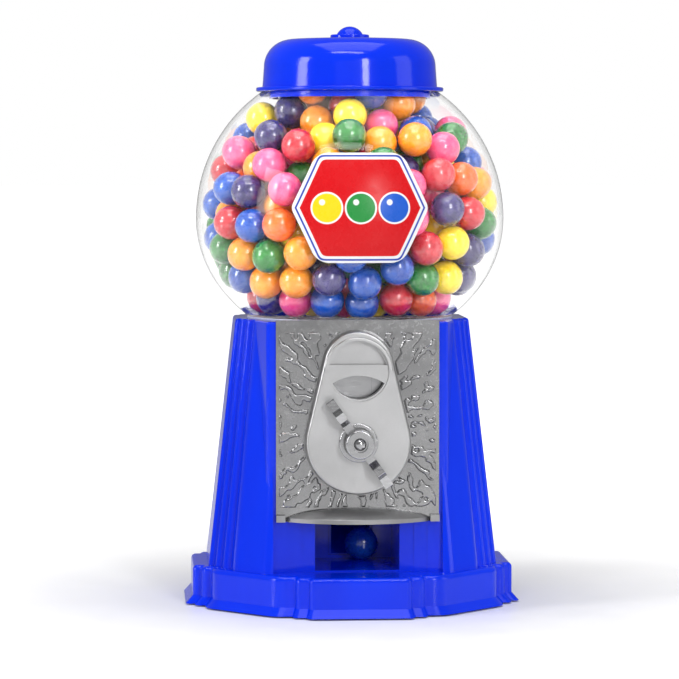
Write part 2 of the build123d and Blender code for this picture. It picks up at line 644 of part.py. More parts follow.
def deck():
    """The hopper deck with its collar, seals, bushing, ball guard and screws."""
    body = turned_solid([(DECK_BORE, DECK_LOW), (DECK_R, DECK_LOW), (DECK_R, SHELF_TOP),
                         (COLLAR_OUT, SHELF_TOP), (COLLAR_OUT, COLLAR_TOP), (COLLAR_IN, COLLAR_TOP),
                         (COLLAR_IN, DECK_TOP), (DECK_BORE, DECK_TOP)])
    ear = EAR_ORBIT / sqrt(2)
    for turn in (45, 135, 225, 315):
        arm = block((DECK_R - 7, EAR_ORBIT), (-EAR_R, EAR_R), (DECK_LOW, DECK_TOP - FIT))
        arm += cylinder_z(EAR_R, DECK_LOW, DECK_TOP - FIT, EAR_ORBIT)
        body += Rot(0, 0, turn) * arm
    body -= four(cylinder_z(1.6, DECK_LOW - 1, DECK_TOP + 1), ear, ear)
    body -= cylinder_z(OUTLET_R, DECK_LOW - 1, DECK_TOP + 1, 0, POCKET_ORBIT)
    body -= [cylinder_z(1.2, 100, DECK_TOP - 0.6, x, POCKET_ORBIT) for x in CHUTE_SCREWS]
    save("hopper_deck", body)
    one = Pos(0, 0, DECK_LOW - 0.02) * screw(2.8, 1.6, 1.3, 12.0)
    save("deck_screws", Compound(children=four(one, ear, ear)))
    bore, rim = SPINDLE_R + FIT, DECK_BORE - FIT
    low, top = DECK_LOW - 0.8, DECK_TOP + 0.15
    save("deck_bushing", turned_solid([(bore, low), (rim, low), (rim, top), (bore, top)]))
    seal = [(44.3, SHELF_TOP), (45.9, SHELF_TOP), (45.9, NECK_LOW - 0.02), (44.3, NECK_LOW - 0.02)]
    save("neck_seal", turned_solid(seal))
    gasket = [(NECK_R + 0.5, TOWER_TOP), (49.4, TOWER_TOP), (49.4, TOWER_TOP + 0.5),
              (NECK_R + 0.5, TOWER_TOP + 0.5)]
    save("globe_gasket", turned_solid(gasket))
    guard = cylinder_z(COLLAR_OUT, COLLAR_TOP, COLLAR_TOP + 1.2) - cylinder_z(GUARD_HOLE_R, 130, 140)
    sector = [(0, 0), (-30, 62), (30, 62)]
    guard &= Pos(0, 0, 130) * extrude(polygon(sector), amount=10)
    save("ball_guard", guard)


def wheel_train():
    """The dispensing wheel, its spindle and nut, and the crown gear under the deck."""
    wheel = cylinder_z(WHEEL_R, DECK_TOP + 0.4, WHEEL_TOP)
    wheel = fillet(wheel.edges().group_by(Axis.Z)[-1], 1.5)
    for i in range(POCKETS):
        wheel -= Rot(0, 0, 90 * i) * cylinder_z(POCKET_R, 110, 140, POCKET_ORBIT)
        wheel -= Rot(0, 0, 90 * i + 45) * cylinder_z(7.0, 110, WHEEL_TOP - 2.4, 29.5)
    wheel -= cylinder_z(SPINDLE_R + 0.02, 110, 140)
    save("dispensing_wheel", wheel)
    save("wheel_spindle", cylinder_z(SPINDLE_R, CROWN_TOP - 1.4, WHEEL_TOP + 1.6))
    nut = extrude(Pos(0, 0, WHEEL_TOP) * RegularPolygon(5.2, 6), amount=2.2)
    save("wheel_nut", nut - cylinder_z(SPINDLE_R + 0.02, 130, 140))

    root, tip = CROWN_PLANE + TOOTH_ROOT, CROWN_PLANE - TOOTH_TIP
    gear = turned_solid([(SPINDLE_R + 0.02, CROWN_WEB), (15.5, CROWN_WEB), (15.5, root), (CROWN_R, root),
                         (CROWN_R, CROWN_TOP), (6.5, CROWN_TOP), (6.5, 95.0), (SPINDLE_R + 0.02, 95.0)])
    half_root, half_tip = TOOTH_WIDE / 2, TOOTH_NARROW / 2
    section = [(-half_root, root + 0.1), (-half_tip, tip), (half_tip, tip), (half_root, root + 0.1)]
    tooth = along_y(polygon(section), -CROWN_R + 0.3, -CROWN_PITCH_R + 1.4)
    teeth = [Rot(0, 0, 360 * (i + 0.5) / CROWN_TEETH) * tooth for i in range(CROWN_TEETH)]
    save("crown_gear", gear + teeth)


def chute():
    """The closed chute from the deck outlet to the back of the alcove, and its screws."""
    near, far = POCKET_ORBIT - CHUTE_HALF, POCKET_ORBIT + CHUTE_HALF
    end, wall = ALCOVE_BACK + ALCOVE_WALL + 0.05, CHUTE_WALL
    low, high = CHUTE_MOUTH
    inner = [(near, DECK_LOW + 1), (near, CHUTE_BEND), (end - 1, high), (end - 1, low),
             (far, CHUTE_REAR_LOW), (far, DECK_LOW + 1)]
    top = DECK_LOW - FIT
    outer = [(near - wall, top), (near - wall, CHUTE_BEND + 0.8), (end, high + 1.4), (end, low - 1.3),
             (far + wall, CHUTE_REAR_LOW - 0.8), (far + wall, top)]
    body = extrude(Plane.YZ * polygon(outer), amount=CHUTE_HALF + wall, both=True)
    body += block((-15.6, 15.6), (near - 4, far + 3), (top - 1.8, top))
    body -= extrude(Plane.YZ * polygon(inner), amount=CHUTE_HALF, both=True)
    body -= [cylinder_z(1.4, 100, 120, x, POCKET_ORBIT) for x in CHUTE_SCREWS]
    save("ball_chute", body)
    one = Pos(0, POCKET_ORBIT, top - 1.82) * screw(2.1, 1.1, 1.15, 4.0)
    save("chute_screws", Compound(children=[Pos(x, 0, 0) * one for x in CHUTE_SCREWS]))


# ---------------------------------------------------------------- globe, lid and label

def globe_radius(z, inset=0.0):
    """The globe's radius at height z: a sphere above its widest line, flatter below."""
    half = (GLOBE_R if z > GLOBE_Z else GLOBE_LOW_B) - inset
    return (GLOBE_R - inset) * sqrt(max(0.0, 1 - ((z - GLOBE_Z) / half) ** 2))


def globe_arcs(inset, z_top, z_low):
    """The sphere arc and the lower ellipse arc of the globe's section, in radius and z."""
    mid = GLOBE_Z + (z_top - GLOBE_Z) * 0.6
    upper = ThreePointArc((globe_radius(z_top, inset), z_top), (globe_radius(mid, inset), mid),
                          (GLOBE_R - inset, GLOBE_Z))
    wide, tall = GLOBE_R - inset, GLOBE_LOW_B - inset
    share = (GLOBE_Z - z_low) / tall
    steep = atan2(share, sqrt(1 - share * share))
    turns = [steep * i / 6 for i in range(7)]
    points = [(wide * cos(t), GLOBE_Z - tall * sin(t)) for t in turns]
    ends = ((0, -1), (-wide * sin(steep), -tall * cos(steep)))
    return upper, Spline(*points, tangents=ends)


def globe():
    """The clear globe, open at the mouth and with a straight neck."""
    low_out, low_in = GLOBE_SHOULDER_Z, GLOBE_SHOULDER_Z + 0.9
    out_arcs = globe_arcs(0.0, GLOBE_MOUTH_Z, low_out)
    in_arcs = globe_arcs(GLOBE_WALL, GLOBE_MOUTH_Z, low_in)
    foot_z = TOWER_TOP + 0.52
    neck_in = NECK_R - GLOBE_WALL
    neck = Polyline((globe_radius(low_out), low_out), (48.4, foot_z), (NECK_R, foot_z),
                    (NECK_R, NECK_LOW), (neck_in, NECK_LOW), (neck_in, foot_z + 0.6),
                    (globe_radius(low_in, GLOBE_WALL), low_in))
    rim = Line((globe_radius(GLOBE_MOUTH_Z), GLOBE_MOUTH_Z),
               (globe_radius(GLOBE_MOUTH_Z, GLOBE_WALL), GLOBE_MOUTH_Z))
    face = make_face(list(out_arcs) + list(in_arcs) + list(neck.edges()) + [rim])
    save("globe", revolve(Plane.XZ * face, axis=Axis.Z))


def label():
    """The sticker on the front of the globe: a long hexagon with soft corners."""
    out, inn = -LABEL_THICK - FIT, -FIT
    top, low = LABEL_Z + LABEL_HALF_HEIGHT + 4, LABEL_Z - LABEL_HALF_HEIGHT - 4
    outer, inner = globe_arcs(out, top, low), globe_arcs(inn, top, low)
    ends = [Line((globe_radius(z, out), z), (globe_radius(z, inn), z)) for z in (top, low)]
    shell = revolve(Plane.XZ * make_face(list(outer) + list(inner) + ends), axis=Axis.Z)
    w, h = LABEL_HALF, LABEL_HALF_HEIGHT
    corners = [(-w, 0), (-w * 0.62, h), (w * 0.62, h), (w, 0), (w * 0.62, -h), (-w * 0.62, -h)]
    radii = [5.0, 9.0, 9.0, 5.0, 9.0, 9.0]
    outline = make_face(FilletPolyline(*corners, radius=radii, close=True))
    save("globe_label", shell & along_y(Pos(0, LABEL_Z) * outline, -90, -20))


def lid_block(inset):
    """The filled dome of the lid above its flange, moved inwards by inset."""
    side_low = (LID_R - inset, LID_FLANGE_TOP - 1)
    side_top = (LID_R - 0.8 - inset, LID_SHOULDER_Z)
    radius = LID_CORNER - inset
    crown = (side_top[0] - radius, side_top[1] + radius)
    bend = (crown[0] + radius * 0.707, side_top[1] + radius * 0.707)
    over = (0, LID_CROWN_Z - inset)
    shallow = (crown[0] * 0.52, crown[1] + (over[1] - crown[1]) * 0.72)
    arcs = [Line(side_low, side_top), ThreePointArc(side_top, bend, crown),
            ThreePointArc(crown, shallow, over), Line(over, (0, side_low[1])),
            Line((0, side_low[1]), side_low)]
    return revolve(Plane.XZ * make_face(arcs), axis=Axis.Z)


def lid_parts():
    """The domed lid with its flange and skirt, the knob on top, and the knob's screw."""
    flange = cylinder_z(LID_FLANGE_R, LID_FLANGE_LOW, LID_FLANGE_TOP)
    flange = fillet(flange.edges(), 0.6)
    lid = flange + lid_block(0.0) - lid_block(LID_WALL)
    lid += cylinder_z(SKIRT_OUT, SKIRT_LOW, LID_FLANGE_TOP)
    lid -= cylinder_z(SKIRT_IN, SKIRT_LOW - 1, LID_FLANGE_TOP + 1)
    lid -= cylinder_z(1.6, LID_CROWN_Z - 5, LID_CROWN_Z + 1)
    save("lid", lid)
    collar_top = LID_CROWN_Z + 1.7
    collar = cylinder_z(KNOB_R, LID_CROWN_Z + 0.02, collar_top)
    knob = fillet(collar.edges().group_by(Axis.Z)[-1], 0.7)
    rise = TOTAL_HEIGHT - collar_top
    cap_r = (KNOB_DOME_R ** 2 + rise ** 2) / (2 * rise)
    dome = Pos(0, 0, TOTAL_HEIGHT - cap_r) * Sphere(cap_r)
    knob += dome & cylinder_z(KNOB_DOME_R, collar_top - 0.5, TOTAL_HEIGHT)
    knob -= cylinder_z(1.25, LID_CROWN_Z - 1, LID_CROWN_Z + 3.4)
    save("lid_knob", knob)
    head_z = LID_CROWN_Z - LID_WALL - 0.02
    save("knob_screw", Pos(0, 0, head_z) * screw(2.9, 1.2, 1.2, 5.2))


# ---------------------------------------------------------------- gumballs

def settle(count, rng):
    """Centres of gumballs resting in the globe, pushed apart until none of them touch."""
    z = rng.uniform(BALL_FLOOR + 10, 238, count)
    a = rng.uniform(0, 2 * pi, count)
    r = 55 * np.sqrt(rng.uniform(0, 1, count)) * np.sqrt(np.clip(1 - ((z - 184) / 66) ** 2, 0.1, 1))
    spots = np.stack([r * np.cos(a), r * np.sin(a), z], axis=1)
    floor = BALL_FLOOR + BALL_SPACE + rng.uniform(0, 3.5, count)
    for step in range(SETTLE_STEPS):
        if step < SETTLE_STEPS * 0.6:
            spots[:, 2] -= 0.06
        push_apart(spots)
        keep_inside(spots, floor)
    return clear_ones(spots)


def clear_ones(spots):
    """Leaves out any gumball that would still touch one before it."""
    kept = []
    for spot in spots:
        if all(np.linalg.norm(spot - other) > 2 * BALL_R + 0.02 for other in kept):
            kept.append(spot)
    return np.array(kept)


def push_apart(spots):
    """Moves every overlapping pair half of its overlap each way."""
    gap = spots[:, None, :] - spots[None, :, :]
    far = np.sqrt((gap ** 2).sum(axis=2)) + np.eye(len(spots)) * 1e3
    over = np.clip(2 * BALL_SPACE - far, 0, None)
    spots += (gap / far[:, :, None] * over[:, :, None] * 0.42).sum(axis=1)


def keep_inside(spots, floor):
    """Holds centres inside the globe's wall, the neck and the lid, and above an uneven floor."""
    reach = BALL_SPACE + GLOBE_WALL + 0.4
    half = np.where(spots[:, 2] > GLOBE_Z, GLOBE_R, GLOBE_LOW_B) - reach
    side = np.hypot(spots[:, 0], spots[:, 1])
    shape = np.sqrt((side / (GLOBE_R - reach)) ** 2 + ((spots[:, 2] - GLOBE_Z) / half) ** 2)
    shrink = np.where((shape > 1) & (spots[:, 2] < GLOBE_MOUTH_Z - 4), 1 / shape, 1.0)
    spots[:, :2] *= shrink[:, None]
    spots[:, 2] = GLOBE_Z + (spots[:, 2] - GLOBE_Z) * shrink
    below = np.clip(SKIRT_LOW - spots[:, 2], 0, None)
    aside = np.sqrt(np.clip(BALL_SPACE ** 2 - below ** 2, 0, None))
    mouth = np.where(aside > 0, SKIRT_IN - 0.3 - aside, 1e3)
    side = np.hypot(spots[:, 0], spots[:, 1])
    spots[:, :2] *= np.minimum(1.0, mouth / np.maximum(side, 1e-9))[:, None]
    spots[:, 2] = np.clip(spots[:, 2], floor, LID_CROWN_Z - 6 - BALL_SPACE)
    neck = 39.0 + (spots[:, 2] - BALL_FLOOR - BALL_SPACE) * 1.6
    side = np.hypot(spots[:, 0], spots[:, 1])
    spots[:, :2] *= np.minimum(1.0, neck / np.maximum(side, 1e-9))[:, None]


def gumballs():
    """Every gumball: the heap in the globe, the ones in the wheel, and the one in the alcove."""
    rng = np.random.default_rng(SEED)
    spots = settle(BALL_COUNT, rng)
    shade = rng.choice(len(COLOURS), size=len(spots), p=np.array(COLOUR_SHARE) / sum(COLOUR_SHARE))
    for i, colour in enumerate(COLOURS):
        balls = [Pos(*spot) * Sphere(BALL_R) for spot in spots[shade == i].tolist()]
        save("gumballs_" + colour, Compound(children=balls))
    in_wheel = [Rot(0, 0, 90 * turn) * Pos(POCKET_ORBIT, 0, DECK_TOP + BALL_R + 0.1) * Sphere(BALL_R)
                for turn in (0, 2, 3)]
    save("gumballs_in_wheel", Compound(children=in_wheel))
    lone = Pos(4.6, ALCOVE_BACK - BALL_R - 0.1, ALCOVE_FLOOR + BALL_R + 0.02) * Sphere(BALL_R)
    save("gumball_dispensed", lone)


def main():
    """Writes every sub-part."""
    os.makedirs("parts", exist_ok=True)
    base_parts()
    alcove()
    underside()
    front_plate()
    face_and_guide()
    front_fixings()
    handle_train()
    inner_frame()
    pawl()
    deck()
    wheel_train()
    chute()
    globe()
    label()
    lid_parts()
    gumballs()


main()
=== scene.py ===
import json
from math import cos, radians, sin, sqrt

import bpy
import numpy as np
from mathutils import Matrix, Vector, noise


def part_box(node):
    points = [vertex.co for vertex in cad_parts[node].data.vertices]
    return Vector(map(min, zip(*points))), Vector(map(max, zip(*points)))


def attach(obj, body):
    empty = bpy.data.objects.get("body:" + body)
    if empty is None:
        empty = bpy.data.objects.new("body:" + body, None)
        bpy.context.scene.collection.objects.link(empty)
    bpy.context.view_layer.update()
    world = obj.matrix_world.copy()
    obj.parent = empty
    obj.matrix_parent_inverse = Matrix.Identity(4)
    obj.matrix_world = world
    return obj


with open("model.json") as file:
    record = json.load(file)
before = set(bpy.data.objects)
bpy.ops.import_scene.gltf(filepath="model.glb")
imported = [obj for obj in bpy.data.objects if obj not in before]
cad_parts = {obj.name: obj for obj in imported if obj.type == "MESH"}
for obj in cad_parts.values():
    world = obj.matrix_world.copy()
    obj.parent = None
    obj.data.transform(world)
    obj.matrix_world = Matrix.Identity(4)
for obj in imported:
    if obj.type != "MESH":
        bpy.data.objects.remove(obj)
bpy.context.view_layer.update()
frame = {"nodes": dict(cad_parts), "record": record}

MM = 0.001
FACE_TOP_R = 16.6 * MM
DULL_FROM_Y = -55.2 * MM
NOISE_SEED = 5
RELIEF_LEVEL = 0.05
RELIEF_LEAST_SLOPE = 25.0
RELIEF_FLANK = 0.80 * MM
RELIEF_HEIGHT = 0.85 * MM
RELIEF_STEP = 0.25 * MM

noise.seed_set(NOISE_SEED)


# ---------------------------------------------------------------- node helpers

class Shader:
    """A material's node tree, with short calls for the nodes that this file uses."""

    def __init__(self, name):
        self.mat = bpy.data.materials.new(name)
        self.mat.use_nodes = True
        self.nodes = self.mat.node_tree.nodes
        self.links = self.mat.node_tree.links
        self.bsdf = self.nodes["Principled BSDF"]
        self.place = self.nodes.new("ShaderNodeTexCoord").outputs["Object"]

    def link(self, source, target):
        self.links.new(source, target)

    def stretch(self, scale, turn=(0, 0, 0)):
        """Object coordinates scaled per axis."""
        node = self.nodes.new("ShaderNodeMapping")
        node.inputs["Scale"].default_value = scale
        node.inputs["Rotation"].default_value = turn
        self.link(self.place, node.inputs["Vector"])
        return node.outputs["Vector"]

    def noise(self, scale, detail=4.0, rough=0.5, place=None):
        node = self.nodes.new("ShaderNodeTexNoise")
        node.inputs["Scale"].default_value = scale
        node.inputs["Detail"].default_value = detail
        node.inputs["Roughness"].default_value = rough
        self.link(place or self.place, node.inputs["Vector"])
        return node.outputs["Fac"]

    def cells(self, scale, place=None):
        node = self.nodes.new("ShaderNodeTexVoronoi")
        node.inputs["Scale"].default_value = scale
        self.link(place or self.place, node.inputs["Vector"])
        return node.outputs["Distance"]

    def ramp(self, value, stops):
        """A colour ramp from (position, colour or grey) stops."""
        node = self.nodes.new("ShaderNodeValToRGB")
        while len(node.color_ramp.elements) < len(stops):
            node.color_ramp.elements.new(0.5)
        for element, (at, colour) in zip(node.color_ramp.elements, stops):
            element.position = at
            rgb = (colour,) * 3 if isinstance(colour, (int, float)) else colour
            element.color = (*rgb, 1.0)
        self.link(value, node.inputs["Fac"])
        return node.outputs["Color"]

    def span(self, value, low, high, new_low, new_high):
        """Maps low..high to new_low..new_high, held at the ends."""
        node = self.nodes.new("ShaderNodeMapRange")
        for socket, number in zip(("From Min", "From Max", "To Min", "To Max"),
                                  (low, high, new_low, new_high)):
            node.inputs[socket].default_value = number
        self.link(value, node.inputs["Value"])
        return node.outputs["Result"]

    def maths(self, kind, *values):
        node = self.nodes.new("ShaderNodeMath")
        node.operation = kind
        for socket, value in zip(node.inputs, values):
            if isinstance(value, (int, float)):
                socket.default_value = value
            else:
                self.link(value, socket)
        return node.outputs["Value"]

    def mix(self, factor, a, b, kind="MIX"):
        node = self.nodes.new("ShaderNodeMix")
        node.data_type = "RGBA"
        node.blend_type = kind
        for socket, value in ((node.inputs["Factor"], factor), (node.inputs["A"], a),
                              (node.inputs["B"], b)):
            if isinstance(value, (int, float)):
                socket.default_value = value
            elif isinstance(value, tuple):
                socket.default_value = (*value, 1.0)
            else:
                self.link(value, socket)
        return node.outputs["Result"]

    def bump(self, height, strength, distance, before=None):
        node = self.nodes.new("ShaderNodeBump")
        node.inputs["Strength"].default_value = strength
        node.inputs["Distance"].default_value = distance
        self.link(height, node.inputs["Height"])
        if before is not None:
            self.link(before, node.inputs["Normal"])
        return node.outputs["Normal"]

    def set(self, **values):
        """Constants on the shader's own sockets."""
        for name, value in values.items():
            socket = self.bsdf.inputs[name.replace("_", " ")]
            if isinstance(value, tuple):
                socket.default_value = (*value, 1.0)
            else:
                socket.default_value = value

    def finish(self, colour=None, rough=None, normal=None):
        for name, source in (("Base Color", colour), ("Roughness", rough), ("Normal", normal)):
            if source is not None:
                self.link(source, self.bsdf.inputs[name])
        return self.mat


# ---------------------------------------------------------------- materials

def glossy_blue(name, deep, light):
    """Shiny injection-moulded plastic: faint flow marks, orange peel and fine rub marks."""
    s = Shader(name)
    flow = s.noise(22.0, 3.0, 0.55, s.stretch((1.0, 1.0, 0.25)))
    speck = s.noise(900.0, 2.0)
    colour = s.mix(s.span(speck, 0.3, 0.7, 0.0, 0.12), s.ramp(flow, ((0.3, deep), (0.7, light))), light)
    rub = s.noise(260.0, 5.0, 0.65, s.stretch((1.0, 1.0, 0.08), (0.3, 0.2, 0.0)))
    rough = s.span(rub, 0.35, 0.75, 0.09, 0.17)
    peel = s.bump(s.noise(420.0, 2.0), 0.04, 0.0003)
    wave = s.bump(s.noise(38.0, 2.0), 0.05, 0.0010, peel)
    s.set(Specular_IOR_Level=0.30, IOR=1.5)
    return s.finish(colour, rough, wave)


def matte_plastic(name, dark, light):
    """Fine-textured moulded plastic for hidden parts."""
    s = Shader(name)
    colour = s.ramp(s.noise(60.0, 4.0), ((0.3, dark), (0.7, light)))
    rough = s.span(s.noise(300.0), 0.3, 0.7, 0.38, 0.55)
    return s.finish(colour, rough, s.bump(s.noise(1600.0, 3.0), 0.25, 0.0002))


def cast_metal(name, dark, light, rough_low, rough_high, grain, dull_from=None):
    """Satin die-cast metal: pitted grain, soft tumbling marks and greyer low spots. What reaches
    further forward than dull_from is left duller."""
    s = Shader(name)
    cloud = s.noise(45.0, 5.0, 0.6)
    pits = s.cells(1500.0)
    colour = s.ramp(cloud, ((0.28, dark), (0.72, light)))
    rough = s.maths("ADD", s.span(cloud, 0.3, 0.7, rough_low, rough_high),
                    s.span(s.noise(700.0, 4.0), 0.35, 0.7, -0.04, 0.06))
    if dull_from is not None:
        axes = s.nodes.new("ShaderNodeSeparateXYZ")
        s.link(s.place, axes.inputs["Vector"])
        rough = s.maths("ADD", rough, s.span(axes.outputs["Y"], dull_from - 0.6 * MM, dull_from, 0.24, 0.0))
    fine = s.bump(s.noise(1300.0, 4.0, 0.6), grain, 0.00018)
    normal = s.bump(pits, grain * 0.5, 0.0001, fine)
    s.set(Metallic=1.0)
    return s.finish(colour, rough, normal)


def polished_steel(name):
    """Bright pressed steel with drawn streaks and rubbed edges."""
    s = Shader(name)
    streak = s.noise(180.0, 5.0, 0.6, s.stretch((1.0, 6.0, 6.0)))
    colour = s.ramp(streak, ((0.3, (0.36, 0.36, 0.37)), (0.7, (0.48, 0.48, 0.49))))
    rough = s.span(streak, 0.3, 0.7, 0.16, 0.28)
    s.set(Metallic=1.0)
    return s.finish(colour, rough, s.bump(s.noise(900.0, 3.0), 0.03, 0.00005))


def brass(name):
    """Turned brass with lathe rings."""
    s = Shader(name)
    tone = s.noise(300.0, 4.0)
    colour = s.ramp(tone, ((0.3, (0.55, 0.36, 0.12)), (0.7, (0.78, 0.58, 0.25))))
    s.set(Metallic=1.0)
    return s.finish(colour, s.span(tone, 0.3, 0.7, 0.2, 0.35), s.bump(s.noise(1500.0), 0.1, 0.0001))


def rubber(name, dark, light, rough):
    """Soft rubber with a dusty surface."""
    s = Shader(name)
    colour = s.ramp(s.noise(400.0, 5.0), ((0.3, dark), (0.7, light)))
    return s.finish(colour, s.span(s.noise(250.0), 0.3, 0.7, rough, rough + 0.15),
                    s.bump(s.noise(1800.0), 0.3, 0.0001))


def clear_plastic(name):
    """Thin clear polystyrene with a little haze, handling marks and uneven thickness."""
    s = Shader(name)
    smear = s.noise(30.0, 5.0, 0.6)
    rough = s.span(smear, 0.5, 0.8, 0.0, 0.05)
    s.set(Transmission_Weight=1.0, IOR=1.2, Base_Color=(1.0, 1.0, 1.0))
    return s.finish(None, rough, s.bump(s.noise(14.0, 1.0), 0.03, 0.002))


def candy(name, deep, light):
    """Sugar shell of a gumball: mottled colour, small dimples and a waxy polish."""
    s = Shader(name)
    each = s.nodes.new("ShaderNodeNewGeometry").outputs["Random Per Island"]
    mottle = s.noise(190.0, 5.0, 0.6)
    tone = s.mix(s.span(mottle, 0.35, 0.7, 0.0, 1.0), deep, light)
    colour = s.mix(s.span(each, 0.0, 1.0, 0.0, 0.35), tone, tuple(c * 0.72 for c in deep))
    rough = s.span(s.noise(420.0, 3.0), 0.3, 0.7, 0.22, 0.34)
    dimple = s.bump(s.noise(150.0, 2.0), 0.08, 0.0008)
    s.set(Coat_Weight=1.0, Coat_Roughness=0.05)
    return s.finish(colour, rough, dimple)


def hexagon_depth(s, half, half_height, flat, centre_z):
    """How far inside the sticker's long hexagon a point lies, in metres, with soft corners."""
    axes = s.nodes.new("ShaderNodeSeparateXYZ")
    s.link(s.place, axes.inputs["Vector"])
    x = s.maths("ABSOLUTE", axes.outputs["X"])
    z = s.maths("ABSOLUTE", s.maths("SUBTRACT", axes.outputs["Z"], centre_z))
    lean = (1 - flat) * half
    norm = sqrt(half_height ** 2 + lean ** 2)
    slope = s.maths("ADD", s.maths("MULTIPLY", x, half_height / norm), s.maths("MULTIPLY", z, lean / norm))
    from_side = s.maths("SUBTRACT", half_height * half / norm, slope)
    from_top = s.maths("SUBTRACT", half_height, z)
    return s.maths("SMOOTH_MIN", from_side, from_top, 3.0 * MM)


def disc_mask(s, x, z, radius, soft=0.12 * MM):
    """1 inside a circle drawn in x and z, 0 outside it."""
    axes = s.nodes.new("ShaderNodeSeparateXYZ")
    s.link(s.place, axes.inputs["Vector"])
    dx = s.maths("SUBTRACT", axes.outputs["X"], x)
    dz = s.maths("SUBTRACT", axes.outputs["Z"], z)
    away = s.maths("SQRT", s.maths("ADD", s.maths("MULTIPLY", dx, dx), s.maths("MULTIPLY", dz, dz)))
    return s.span(away, radius - soft, radius + soft, 1.0, 0.0)


def sticker(name):
    """Printed gloss sticker: a red field in a white border with a row of plain coloured balls."""
    low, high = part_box("globe_label")
    half, half_height = (high.x - low.x) / 2, (high.z - low.z) / 2
    centre_z = (high.z + low.z) / 2
    s = Shader(name)
    depth = hexagon_depth(s, half, half_height, 0.62, centre_z)
    white, red, line = (0.82, 0.82, 0.82), (0.62, 0.002, 0.006), (0.010, 0.045, 0.42)
    ink = s.mix(s.span(depth, 0.95 * MM, 1.15 * MM, 0.0, 1.0), white, line)
    ink = s.mix(s.span(depth, 1.75 * MM, 1.95 * MM, 0.0, 1.0), ink, white)
    ink = s.mix(s.span(depth, 3.0 * MM, 3.2 * MM, 0.0, 1.0), ink, red)
    balls = ((-15.5, (0.95, 0.62, 0.01)), (0.0, (0.02, 0.26, 0.05)), (15.5, (0.01, 0.10, 0.55)))
    for x, colour in balls:
        spot = (x * MM, centre_z)
        ink = s.mix(disc_mask(s, *spot, 7.4 * MM), ink, white)
        ink = s.mix(disc_mask(s, *spot, 6.6 * MM), ink, colour)
        shine = (spot[0] - 2.2 * MM, spot[1] + 2.6 * MM)
        ink = s.mix(disc_mask(s, *shine, 1.3 * MM, 0.3 * MM), ink, (0.95, 0.95, 0.95))
    screen = s.cells(2400.0, s.stretch((1.0, 0.0, 1.0)))
    ink = s.mix(s.span(screen, 0.2, 0.6, 0.0, 0.01), ink, white)
    rough = s.span(s.noise(220.0, 4.0), 0.3, 0.7, 0.22, 0.34)
    s.set(Specular_IOR_Level=0.2)
    return s.finish(ink, rough, s.bump(s.noise(90.0, 3.0), 0.05, 0.0004))


CANDY_COLOURS = {
    "red": ((0.42, 0.008, 0.020), (0.60, 0.030, 0.040)),
    "orange": ((0.70, 0.09, 0.006), (0.86, 0.15, 0.01)),
    "amber": ((0.80, 0.23, 0.004), (0.92, 0.34, 0.02)),
    "yellow": ((0.86, 0.60, 0.004), (0.94, 0.72, 0.02)),
    "green": ((0.008, 0.12, 0.015), (0.02, 0.22, 0.03)),
    "blue": ((0.005, 0.045, 0.30), (0.01, 0.10, 0.46)),
    "purple": ((0.020, 0.014, 0.085), (0.05, 0.035, 0.17)),
    "pink": ((0.76, 0.055, 0.17), (0.88, 0.13, 0.29)),
}


def make_materials():
    """Every material by the record's slot name."""
    made = {
        "blue_plastic": glossy_blue("blue_plastic", (0.0, 0.022, 0.66), (0.0, 0.034, 0.80)),
        "lid_plastic": glossy_blue("lid_plastic", (0.0, 0.024, 0.68), (0.0, 0.036, 0.82)),
        "cover_plastic": matte_plastic("cover_plastic", (0.004, 0.015, 0.24), (0.006, 0.022, 0.34)),
        "feet_rubber": rubber("feet_rubber", (0.012, 0.012, 0.013), (0.03, 0.03, 0.03), 0.6),
        "seal_rubber": rubber("seal_rubber", (0.62, 0.66, 0.70), (0.78, 0.81, 0.84), 0.25),
        "cast_plate": cast_metal("cast_plate", (0.28, 0.28, 0.285), (0.36, 0.36, 0.365), 0.20, 0.27, 0.05,
                                 DULL_FROM_Y),
        "face_metal": cast_metal("face_metal", (0.44, 0.44, 0.445), (0.50, 0.50, 0.505), 0.34, 0.42, 0.06),
        "lever_metal": polished_steel("lever_metal"),
        "steel": polished_steel("steel"),
        "brass": brass("brass"),
        "deck_plastic": matte_plastic("deck_plastic", (0.62, 0.62, 0.60), (0.75, 0.75, 0.73)),
        "wheel_plastic": matte_plastic("wheel_plastic", (0.68, 0.67, 0.63), (0.80, 0.79, 0.75)),
        "clear_plastic": clear_plastic("clear_plastic"),
        "label_vinyl": sticker("label_vinyl"),
    }
    for colour, (deep, light) in CANDY_COLOURS.items():
        made["candy_" + colour] = candy("candy_" + colour, deep, light)
    return made


def dress_nodes(made):
    """Gives every CAD node its material."""
    slots = {part["node"]: part["material_slot"] for part in frame["record"]["subparts"]}
    for name, obj in frame["nodes"].items():
        obj.data.materials.clear()
        obj.data.materials.append(made[slots[name]])


# ---------------------------------------------------------------- cast relief

def new_piece(name, verts, faces, material, body):
    """A mesh piece that rides on a body and takes its finish from a slot."""
    mesh = bpy.data.meshes.new(name)
    mesh.from_pydata(verts, [], faces)
    mesh.update()
    for polygon in mesh.polygons:
        polygon.use_smooth = True
    obj = bpy.data.objects.new(name, mesh)
    bpy.context.scene.collection.objects.link(obj)
    mesh.materials.append(material)
    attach(obj, body)
    return obj


def face_distance(x, z, low, high):
    """Distance outside the coin mechanism's drop-shaped face, in metres, negative inside it."""
    wide, narrow = (high.x - low.x) / 2, FACE_TOP_R
    px, pz = abs(x), z - (low.z + wide)
    rise = (high.z - narrow) - (low.z + wide)
    lean = (wide - narrow) / rise
    flat = sqrt(1 - lean * lean)
    along = -lean * px + flat * pz
    if along < 0:
        return sqrt(px * px + pz * pz) - wide
    if along > flat * rise:
        return sqrt(px * px + (pz - rise) ** 2) - narrow
    return px * flat + pz * lean - wide


